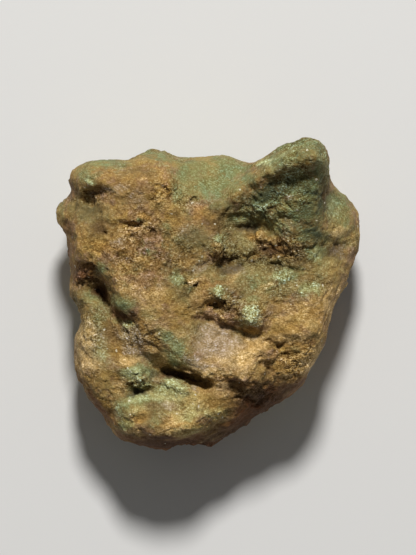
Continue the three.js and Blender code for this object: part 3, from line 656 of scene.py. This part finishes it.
# Layers of colour, from the lowest to the highest: (patches on the seen side, strength). The sides
# and the back have free patches of them: (width, share of the sides, how much more behind).
LAYERS = {
    "sage": (SAGE, 0.8, (7.0, 0.5, 0.0)),
    "gold": (GOLD, 0.75, (4.5, 0.45, -0.2)),
    "olive": (OLIVE, 0.8, (5.0, 0.5, 0.1)),
    "umber": (UMBER, 0.85, (4.0, 0.5, -0.1)),
    "ochre": (OCHRE, 0.85, (6.0, 0.34, -0.25)),
    "green": (GREEN, 0.95, (9.0, 0.38, 0.35)),
    "deep_green_and_shade": (DEEP_GREEN_AND_SHADE, 0.9, (6.0, 0.15, 0.1)),
    "lilac": (LILAC, 0.9, (5.0, 0.25, 0.0)),
    "pale": (PALE, 0.9, (5.0, 0.28, 0.0)),
    "lime": (LIME, 0.9, (5.0, 0.1, 0.0)),
    "mint": (MINT, 0.95, (4.0, 0.1, 0.1)),
    "rust_and_red_shade": (RUST_AND_RED_SHADE, 0.9, (8.0, 0.3, -0.3)),
    "shade_and_dark_stain": (SHADE_AND_DARK_STAIN, 0.75, (7.0, 0.3, 0.0)),
}

# Natural roughness in millimetres: (height on smooth ground, how much more on rough ground, width).
ROUGHNESS = {
    "lumps": (0.22, 0.2, 1.9),
    "small lumps": (0.08, 0.22, 0.95),
    "creases": (0.15, 0.45, 1.5),
    "grains": (0.12, 0.05, 0.5),
    "fine grains": (0.09, 0.0, 0.36),
    "pits": (0.05, 0.2, 0.8),
}
# Crumbs are added where the stone is crumbly: (height, width).
CRUMBS = (0.3, 0.62)
FINE_CRUMBS = (0.1, 0.3)
# The lumps and grains are bent out of line by this much, in bends this wide.
BEND = (0.22, 0.9)
# How rough and how crumbly the sides and the back are, at most.
FREE_ROUGH = 0.7
FREE_CRUMBLY = 0.4
# The share of the roughness that is lost on smooth stone, near the ground and on upright flanks.
LOST_ON_SMOOTH_STONE = 0.6
LOST_ON_GROUND = 0.8
LOST_ON_FLANKS = 0.3


def on_top(points, normals):
    """1 where the listed relief and roughness are, 0 on the sides and below."""
    return blend_in(0.1, 0.5, normals[:, 2]) * blend_in(5.0, 7.0, points[:, 2])


def painted(spot, patches):
    """How strongly the patches of one kind cover each place."""
    cover = np.zeros(len(spot))
    for x, y, length, breadth, turn, strength in patches:
        cover = np.maximum(cover, strength * inside(spot, x, y, length, breadth, turn, PATCH_EDGE))
    return cover


def colour_cover(points, normals, spot):
    """How strongly each layer of colour covers each place."""
    facing_up = blend_in(-0.4, 0.05, normals[:, 2]) * blend_in(2.5, 5.5, points[:, 2])
    behind = blend_in(4.0, 12.0, points[:, 1])
    cover = {}
    for number, (name, (patches, _, (width, share, more_behind))) in enumerate(LAYERS.items()):
        level = noise_at(points, width, seed=40 + number) - 0.5 + share + more_behind * behind
        cover[name] = facing_up * painted(spot, patches) + (1 - facing_up) * blend_in(0.0, 0.2, level)
    return cover


def natural_roughness(points, rough, crumbly, smooth_stone):
    """How far lumps, creases, grains, crumbs and pits stand above the shaped surface."""
    reach, width = BEND
    bends = [noise_at(points, width, seed=70 + axis) for axis in range(3)]
    bent = points + reach * np.stack(bends, axis=1)
    coarse = 1 - LOST_ON_SMOOTH_STONE * smooth_stone
    height = {name: low + more * rough for name, (low, more, _) in ROUGHNESS.items()}
    width = {name: width for name, (_, _, width) in ROUGHNESS.items()}
    out = height["lumps"] * coarse * fractal_at(bent, width["lumps"], seed=1, octaves=5)
    out += height["small lumps"] * coarse * fractal_at(points, width["small lumps"], seed=7, octaves=3)
    out += height["creases"] * coarse * (np.abs(noise_at(bent, width["creases"], seed=5)) - 0.2)
    out += height["grains"] * coarse * round_grains(bent, width["grains"], seed=3)
    out += height["fine grains"] * coarse * round_grains(points, width["fine grains"], seed=4)
    crumbs = CRUMBS[0] * crumbly * round_grains(bent, CRUMBS[1], seed=9)
    out += crumbs + FINE_CRUMBS[0] * crumbly * noise_at(points, FINE_CRUMBS[1], seed=10)
    out -= height["pits"] * scattered_pits(bent, width["pits"], 0.04 + 0.12 * rough, seed=8)
    return out


# ---- the mesh ----


def stone_from_cad(node):
    """A copy of the CAD stone in millimetres, its faces joined along their edges."""
    mesh = bpy.data.meshes.new("stone")
    shape = bmesh.new()
    shape.from_mesh(node.data)
    bmesh.ops.remove_doubles(shape, verts=shape.verts, dist=1e-6)
    shape.to_mesh(mesh)
    shape.free()
    mesh.transform(Matrix.Scale(1 / MM, 4))
    piece = bpy.data.objects.new("turquoise_nugget", mesh)
    bpy.context.scene.collection.objects.link(piece)
    return piece


def apply_modifiers(piece):
    """Makes the mesh what the modifiers show."""
    shown = piece.evaluated_get(bpy.context.evaluated_depsgraph_get())
    finished = bpy.data.meshes.new_from_object(shown)
    piece.modifiers.clear()
    piece.data = finished


def remesh(piece, voxel):
    """Covers the surface with even faces, voxel across."""
    modifier = piece.modifiers.new("remesh", "REMESH")
    modifier.mode = "VOXEL"
    modifier.voxel_size = voxel
    modifier.use_smooth_shade = True
    apply_modifiers(piece)


def read(mesh):
    """Places, normals and edges of a mesh as arrays."""
    count = len(mesh.vertices)
    points = np.empty(count * 3)
    mesh.vertices.foreach_get("co", points)
    normals = np.empty(count * 3)
    mesh.vertices.foreach_get("normal", normals)
    edges = np.empty(len(mesh.edges) * 2, np.int64)
    mesh.edges.foreach_get("vertices", edges)
    return points.reshape(-1, 3), normals.reshape(-1, 3), edges.reshape(-1, 2)


def write(mesh, points):
    """Moves a mesh's vertices to new places."""
    mesh.vertices.foreach_set("co", points.ravel())
    mesh.update()


def keep(mesh, name, values):
    """Stores one number a vertex for the material."""
    layer = mesh.attributes.new(name, "FLOAT", "POINT")
    layer.data.foreach_set("value", values.astype(np.float32))


def hollow(points, normals, edges, rounds):
    """How deep each place lies below its surroundings, positive in pits."""
    count = len(points)
    a, b = edges[:, 0], edges[:, 1]
    neighbours = np.bincount(a, minlength=count) + np.bincount(b, minlength=count)
    around = points.copy()
    for _ in range(rounds):
        total = np.zeros_like(around)
        for axis in range(3):
            total[:, axis] += np.bincount(a, around[b, axis], count)
            total[:, axis] += np.bincount(b, around[a, axis], count)
        around = 0.5 * around + 0.5 * total / neighbours[:, None]
    return np.einsum("ij,ij->i", around - points, normals)


def thin_out(piece, share):
    """Merges faces, most where share is 1 and none where it is 0, down to the number kept."""
    group = piece.vertex_groups.new(name="thinned")
    steps = 10
    level = np.round(share * steps).astype(int)
    for step in range(1, steps + 1):
        group.add(np.flatnonzero(level == step).tolist(), step / steps, "REPLACE")
    triangles = sum(len(face.vertices) - 2 for face in piece.data.polygons)
    modifier = piece.modifiers.new("thinned", "DECIMATE")
    modifier.vertex_group = group.name
    modifier.vertex_group_factor = 1.0
    modifier.ratio = TRIANGLES / triangles
    apply_modifiers(piece)
    piece.vertex_groups.clear()


def smooth_facets(piece):
    """Rounds off the facets of the CAD solid."""
    remesh(piece, FIRST_VOXEL)
    modifier = piece.modifiers.new("smoothing", "SMOOTH")
    modifier.factor = 0.5
    modifier.iterations = FACET_SMOOTHING
    apply_modifiers(piece)


def add_relief(piece):
    """Adds the listed relief to the seen side."""
    points, normals, _ = read(piece.data)
    points[:, 2] += on_top(points, normals) * relief(points)
    write(piece.data, points)
    remesh(piece, FINISHED_VOXEL)


def add_roughness(piece):
    """Adds the natural roughness and stores what the material reads."""
    points, normals, _ = read(piece.data)
    spot = wander(points, COLOUR_WANDER)
    cover = colour_cover(points, normals, spot)
    top = on_top(points, normals)
    rough_spots = blend_in(-0.3, 0.5, noise_at(points, 6, seed=60))
    crumbly_spots = blend_in(0.0, 0.6, noise_at(points, 5, seed=61))
    rough = top * painted(spot, ROUGH) + (1 - top) * FREE_ROUGH * rough_spots
    crumbly = top * painted(spot, CRUMBLY) + (1 - top) * FREE_CRUMBLY * crumbly_spots
    smooth_stone = np.clip((cover["green"] + 0.7 * cover["lilac"]) * (1 - rough), 0, 1)

    out = natural_roughness(points, rough, crumbly, smooth_stone)
    out *= 1 - LOST_ON_GROUND * (1 - blend_in(0.02, 0.6, points[:, 2]))
    out *= 1 - LOST_ON_FLANKS * blend_in(0.5, 0.2, np.abs(normals[:, 2]))
    points += normals * out[:, None]
    points[:, 2] = np.maximum(points[:, 2], 0)
    write(piece.data, points)

    points, normals, edges = read(piece.data)
    keep(piece.data, "pits", hollow(points, normals, edges, rounds=3))
    keep(piece.data, "hollows", hollow(points, normals, edges, rounds=40))
    keep(piece.data, "rough", rough)
    for name, values in cover.items():
        keep(piece.data, name, values)
    thin_out(piece, blend_in(13.0, 5.0, points[:, 2]) * blend_in(0.8, 0.2, normals[:, 2]))


def fit_to_box(piece, box):
    """Fills the same box as the CAD solid, and goes over to metres."""
    points, _, _ = read(piece.data)
    points[:, 2] = np.maximum(points[:, 2], 0)
    low, high = (np.array(corner) / MM for corner in box)
    points = low + (points - points.min(0)) / (points.max(0) - points.min(0)) * (high - low)
    write(piece.data, points)
    piece.data.transform(Matrix.Scale(MM, 4))
    piece.data.shade_smooth()


# ---- the material ----

COLOURS = {
    "brown": (0.32, 0.19, 0.062),
    "tan": (0.43, 0.275, 0.092),
    "dusk": (0.34, 0.205, 0.112),
    "sage": (0.32, 0.275, 0.105),
    "umber": (0.17, 0.095, 0.03),
    "olive": (0.205, 0.165, 0.06),
    "gold": (0.43, 0.27, 0.065),
    "green": (0.20, 0.235, 0.1),
    "moss": (0.24, 0.235, 0.085),
    "deep_green_and_shade": (0.075, 0.085, 0.04),
    "lime": (0.50, 0.43, 0.16),
    "mint": (0.54, 0.56, 0.27),
    "ochre": (0.42, 0.23, 0.05),
    "lilac": (0.51, 0.39, 0.25),
    "pale": (0.78, 0.53, 0.215),
    "rust_and_red_shade": (0.16, 0.055, 0.015),
    "shade_and_dark_stain": (0.05, 0.031, 0.013),
    # the near-white of painted glints
    "glint": (0.85, 0.80, 0.62),
}

# The share of its colour that a pit keeps, as dirt and painted shade,
DIRT_AND_SHADE = (0.25, 0.19, 0.1)
# and how much brighter proud grains are, as wear and painted highlight.
WEAR_AND_HIGHLIGHT = (1.32, 1.36, 1.5)

# Light grains are paler and dark ones deeper: the power of a grain's tone in each channel.
GRAIN_TINT = {"Red": 0.8, "Green": 1.0, "Blue": 1.6}

BUMP_DEPTH = 0.14
SPECULAR = 0.3


class Nodes:
    """Short words for building a material's node tree."""

    def __init__(self, tree):
        self.tree = tree

    def add(self, kind, inputs=None, **settings):
        node = self.tree.nodes.new(kind)
        for name, value in settings.items():
            setattr(node, name, value)
        for name, value in (inputs or {}).items():
            self.plug(node.inputs[name], value)
        return node

    def plug(self, socket, value):
        if isinstance(value, bpy.types.NodeSocket):
            self.tree.links.new(value, socket)
        else:
            socket.default_value = value

    def attribute(self, name):
        return self.add("ShaderNodeAttribute", attribute_name=name).outputs["Fac"]

    def math(self, operation, *values, clamp=False):
        inputs = dict(enumerate(values))
        return self.add("ShaderNodeMath", inputs, operation=operation, use_clamp=clamp).outputs[0]

    def vector(self, operation, *values):
        inputs = dict(enumerate(values))
        return self.add("ShaderNodeVectorMath", inputs, operation=operation).outputs[0]

    def ramp(self, value, low, high, to_low=0.0, to_high=1.0):
        ends = {"From Min": low, "From Max": high, "To Min": to_low, "To Max": to_high}
        inputs = {"Value": value, **ends}
        return self.add("ShaderNodeMapRange", inputs, interpolation_type="SMOOTHSTEP").outputs[0]

    def mix(self, share, a, b, blend="MIX"):
        node = self.add("ShaderNodeMix", data_type="RGBA", blend_type=blend)
        self.plug(node.inputs[0], share)
        for socket, colour in ((node.inputs[6], a), (node.inputs[7], b)):
            self.plug(socket, (*colour, 1) if isinstance(colour, tuple) else colour)
        return node.outputs[2]

    def channel(self, colour, number):
        return self.add("ShaderNodeSeparateColor", {"Color": colour}).outputs[number]

    def shifted(self, place, shift):
        return self.vector("ADD", place, (shift, shift, shift))

    def bent(self, place, width, reach):
        inputs = {"Vector": place, "Scale": 1 / (width * MM), "Detail": 2.0}
        push = self.add("ShaderNodeTexNoise", inputs).outputs["Color"]
        push = self.vector("SUBTRACT", push, (0.5, 0.5, 0.5))
        return self.vector("MULTIPLY_ADD", push, (2 * reach * MM,) * 3, place)

    def noise(self, place, width, detail, roughness=0.6):
        inputs = {"Vector": place, "Scale": 1 / (width * MM), "Detail": detail, "Roughness": roughness}
        return self.add("ShaderNodeTexNoise", inputs).outputs[0]

    def cells(self, place, width):
        return self.add("ShaderNodeTexVoronoi", {"Vector": place, "Scale": 1 / (width * MM)})


def stone_patterns(nodes):
    """The patterns that colour, grain and gloss share: widths in millimetres, coarse to fine."""
    place = nodes.add("ShaderNodeTexCoord").outputs["Object"]
    flat_lying = nodes.vector("MULTIPLY", place, (1.0, 1.2, 1.2))
    grain = nodes.cells(nodes.bent(flat_lying, width=0.5, reach=0.16), width=0.25)
    return {
        "blotches": nodes.noise(place, width=3.2, detail=4.0),
        "veins": nodes.noise(nodes.shifted(place, 43), width=2.4, detail=4.0),
        "coarseness": nodes.noise(nodes.shifted(place, 31), width=2.2, detail=2.0, roughness=0.55),
        "stains": nodes.noise(nodes.shifted(place, 11), width=1.8, detail=4.0),
        "mottle": nodes.noise(nodes.shifted(place, 23), width=0.9, detail=3.0),
        "grain gap": grain.outputs["Distance"],
        "grain value": nodes.channel(grain.outputs["Color"], 0),
        "flakes": nodes.channel(nodes.cells(place, width=0.22).outputs["Color"], 1),
        "dust": nodes.noise(flat_lying, width=0.2, detail=2.0),
    }


def ground_colour(nodes, pattern):
    """The matrix that the patches lie on: brown to tan, with olive, golden and dusky stains."""
    colour = nodes.mix(nodes.ramp(pattern["blotches"], 0.4, 0.6), COLOURS["brown"], COLOURS["tan"])
    stains = pattern["stains"]
    colour = nodes.mix(nodes.ramp(stains, 0.48, 0.36, 0, 0.7), colour, COLOURS["olive"])
    colour = nodes.mix(nodes.ramp(stains, 0.53, 0.66, 0, 0.7), colour, COLOURS["gold"])
    return nodes.mix(nodes.ramp(pattern["veins"], 0.5, 0.6, 0, 0.8), colour, COLOURS["dusk"])


def add_patches(nodes, pattern, colour):
    """Lays the layers of colour over the ground, with uneven edges."""
    coarse_wobble = nodes.ramp(pattern["mottle"], 0.3, 0.7, -0.2, 0.2)
    fine_wobble = nodes.ramp(pattern["dust"], 0.3, 0.7, -0.12, 0.12)
    wobble = nodes.math("ADD", coarse_wobble, fine_wobble)
    blotches = nodes.ramp(pattern["blotches"], 0.42, 0.6)
    two_greens = nodes.mix(blotches, COLOURS["green"], COLOURS["moss"])
    for name, (_, strength, _) in LAYERS.items():
        cover = nodes.attribute(name)
        edge = nodes.math("MULTIPLY_ADD", nodes.ramp(cover, 0.0, 0.3), wobble, cover)
        share = nodes.math("MULTIPLY", nodes.math("MINIMUM", edge, 1.0, clamp=True), strength)
        colour = nodes.mix(share, colour, two_greens if name == "green" else COLOURS[name])
    return colour


def grain_contrast(nodes, pattern):
    """Grains differ more where the stone is rough, and in some places more than in others."""
    contrast = nodes.ramp(nodes.attribute("rough"), 0, 1, 0.55, 1.3)
    return nodes.math("MULTIPLY", contrast, nodes.ramp(pattern["coarseness"], 0.35, 0.65, 0.7, 1.15))


def add_grains(nodes, pattern, contrast, colour):
    """Light and dark grains, with dark gaps between them."""
    tone = nodes.ramp(pattern["grain value"], 0, 1, 0.62, 1.4)
    tone = nodes.math("MULTIPLY", tone, nodes.ramp(pattern["dust"], 0.34, 0.66, 0.5, 1.5))
    tone = nodes.math("MULTIPLY", tone, nodes.ramp(pattern["grain gap"], 0.3, 0.75, 1.08, 0.7))
    tone = nodes.math("MULTIPLY", tone, nodes.ramp(pattern["mottle"], 0.32, 0.68, 0.82, 1.18))
    tone = nodes.math("ADD", 1.0, nodes.math("MULTIPLY", nodes.math("SUBTRACT", tone, 1.0), contrast))
    channels = {name: nodes.math("POWER", tone, power) for name, power in GRAIN_TINT.items()}
    tint = nodes.add("ShaderNodeCombineColor", channels).outputs[0]
    return nodes.mix(1.0, colour, tint, "MULTIPLY")


def add_dirt_shade_and_highlights(nodes, colour):
    """Dirt and painted shade in pits and hollows, and wear and painted highlight on what stands proud.
    """
    pits = nodes.attribute("pits")
    # Pits keep less of their colour: dirt and painted shade.
    dirt_shaded = nodes.mix(1.0, colour, DIRT_AND_SHADE, "MULTIPLY")
    colour = nodes.mix(nodes.ramp(pits, 0.0, 0.06, 0, 0.45), colour, dirt_shaded)
    # Hollows go dark: dirt and painted shade.
    hollows = nodes.ramp(nodes.attribute("hollows"), 0.1, 0.7, 0, 0.45)
    colour = nodes.mix(hollows, colour, COLOURS["shade_and_dark_stain"])
    # Proud places get brighter: wear and painted highlight.
    wear_highlit = nodes.mix(1.0, colour, WEAR_AND_HIGHLIGHT, "MULTIPLY")
    return nodes.mix(nodes.ramp(pits, -0.004, -0.04, 0, 0.8), colour, wear_highlit)


def stone_material():
    """Granular matrix with patches of green stone."""
    material = bpy.data.materials.new("stone")
    material.use_nodes = True
    nodes = Nodes(material.node_tree)
    shader = material.node_tree.nodes["Principled BSDF"]
    pattern = stone_patterns(nodes)
    contrast = grain_contrast(nodes, pattern)

    colour = add_patches(nodes, pattern, ground_colour(nodes, pattern))
    colour = add_grains(nodes, pattern, contrast, colour)
    colour = add_dirt_shade_and_highlights(nodes, colour)
    # Painted glints: a few flakes are coloured near-white, and are made a little glossier below.
    glints = nodes.ramp(pattern["flakes"], 0.9975, 0.999)
    colour = nodes.mix(nodes.math("MULTIPLY", glints, 0.7), colour, COLOURS["glint"])
    nodes.plug(shader.inputs["Base Color"], colour)

    dull = nodes.ramp(pattern["mottle"], 0.3, 0.7, 0.7, 0.88)
    gloss = nodes.math("MULTIPLY", glints, 0.4)
    nodes.plug(shader.inputs["Roughness"], nodes.math("SUBTRACT", dull, gloss))
    shader.inputs["Specular IOR Level"].default_value = SPECULAR

    dust = nodes.math("MULTIPLY", pattern["dust"], 1.6)
    gaps = nodes.math("MULTIPLY", pattern["grain gap"], 0.5)
    tooth = nodes.math("MULTIPLY", nodes.math("SUBTRACT", dust, gaps), contrast)
    bump = nodes.add("ShaderNodeBump", {"Height": tooth, "Distance": BUMP_DEPTH * MM})
    bump.inputs["Strength"].default_value = 1.0
    nodes.plug(shader.inputs["Normal"], bump.outputs["Normal"])
    return material


# ---- floor, light and camera ----

FLOOR_REACH = 3.0
FLOOR_COLOUR = (0.76, 0.76, 0.75, 1)
FLOOR_ROUGHNESS = 0.9

# A soft lamp on the stone's far side, and a pale sky all around.
KEY_DIRECTION = (0.02, 0.65, 0.76)
KEY_DISTANCE = 0.9
KEY_SIZE = 0.16
KEY_POWER = 8.5
KEY_COLOUR = (1.0, 0.985, 0.965)
KEY_TARGET = (0, 0, 0.01)
SKY_COLOUR = (1.0, 0.99, 0.97, 1)
SKY_LIGHT = 0.12
SKY_SHOWN = 0.75

# The camera looks straight down, as the photograph does, from far enough to show no foreshortening.
FRAME_HEIGHT = 63.8
FRAME_MIDDLE = 2.0
LENS = 500.0
SENSOR = 36.0
STONE_MIDDLE = 12


def pale_floor():
    """A plain floor under the stone."""
    mesh = bpy.data.meshes.new("floor")
    reach = FLOOR_REACH
    corners = [(-reach, -reach, 0), (reach, -reach, 0), (reach, reach, 0), (-reach, reach, 0)]
    mesh.from_pydata(corners, [], [(0, 1, 2, 3)])
    material = bpy.data.materials.new("floor")
    material.use_nodes = True
    shader = material.node_tree.nodes["Principled BSDF"]
    shader.inputs["Base Color"].default_value = FLOOR_COLOUR
    shader.inputs["Roughness"].default_value = FLOOR_ROUGHNESS
    mesh.materials.append(material)
    floor = bpy.data.objects.new("floor", mesh)
    bpy.context.scene.collection.objects.link(floor)


def key_light():
    """One soft lamp, from where the photograph's shadows say."""
    lamp = bpy.data.lights.new("key", "AREA")
    lamp.shape = "DISK"
    lamp.size = KEY_SIZE
    lamp.energy = KEY_POWER
    lamp.color = KEY_COLOUR
    light = bpy.data.objects.new("key", lamp)
    towards = Vector(KEY_DIRECTION).normalized()
    light.location = towards * KEY_DISTANCE + Vector(KEY_TARGET)
    light.rotation_euler = (-towards).to_track_quat("-Z", "Y").to_euler()
    light.visible_camera = False
    bpy.context.scene.collection.objects.link(light)


def pale_surroundings():
    """A pale sky of one strength as light and another as the background behind the floor's edge."""
    world = bpy.data.worlds.new("surroundings")
    world.use_nodes = True
    nodes = Nodes(world.node_tree)
    seen = nodes.add("ShaderNodeLightPath").outputs["Is Camera Ray"]
    inputs = {"Value": seen, "To Min": SKY_LIGHT, "To Max": SKY_SHOWN}
    strength = nodes.add("ShaderNodeMapRange", inputs).outputs[0]
    background = world.node_tree.nodes["Background"]
    background.inputs["Color"].default_value = SKY_COLOUR
    nodes.plug(background.inputs["Strength"], strength)
    bpy.context.scene.world = world


def camera_above():
    """The photograph's view."""
    lens = bpy.data.cameras.new("camera")
    lens.lens = LENS
    lens.sensor_width = SENSOR
    lens.clip_end = 10
    camera = bpy.data.objects.new("camera", lens)
    height = STONE_MIDDLE + FRAME_HEIGHT / SENSOR * LENS
    camera.location = (0, FRAME_MIDDLE * MM, height * MM)
    bpy.context.scene.collection.objects.link(camera)
    bpy.context.scene.camera = camera


piece = stone_from_cad(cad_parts["nugget"])
smooth_facets(piece)
add_relief(piece)
add_roughness(piece)
fit_to_box(piece, cad_box)
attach(piece, "root")
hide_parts("nugget")
piece.data.materials.clear()
piece.data.materials.append(stone_material())

pale_floor()
key_light()
pale_surroundings()
camera_above()
bpy.context.scene.view_settings.view_transform = "Standard"
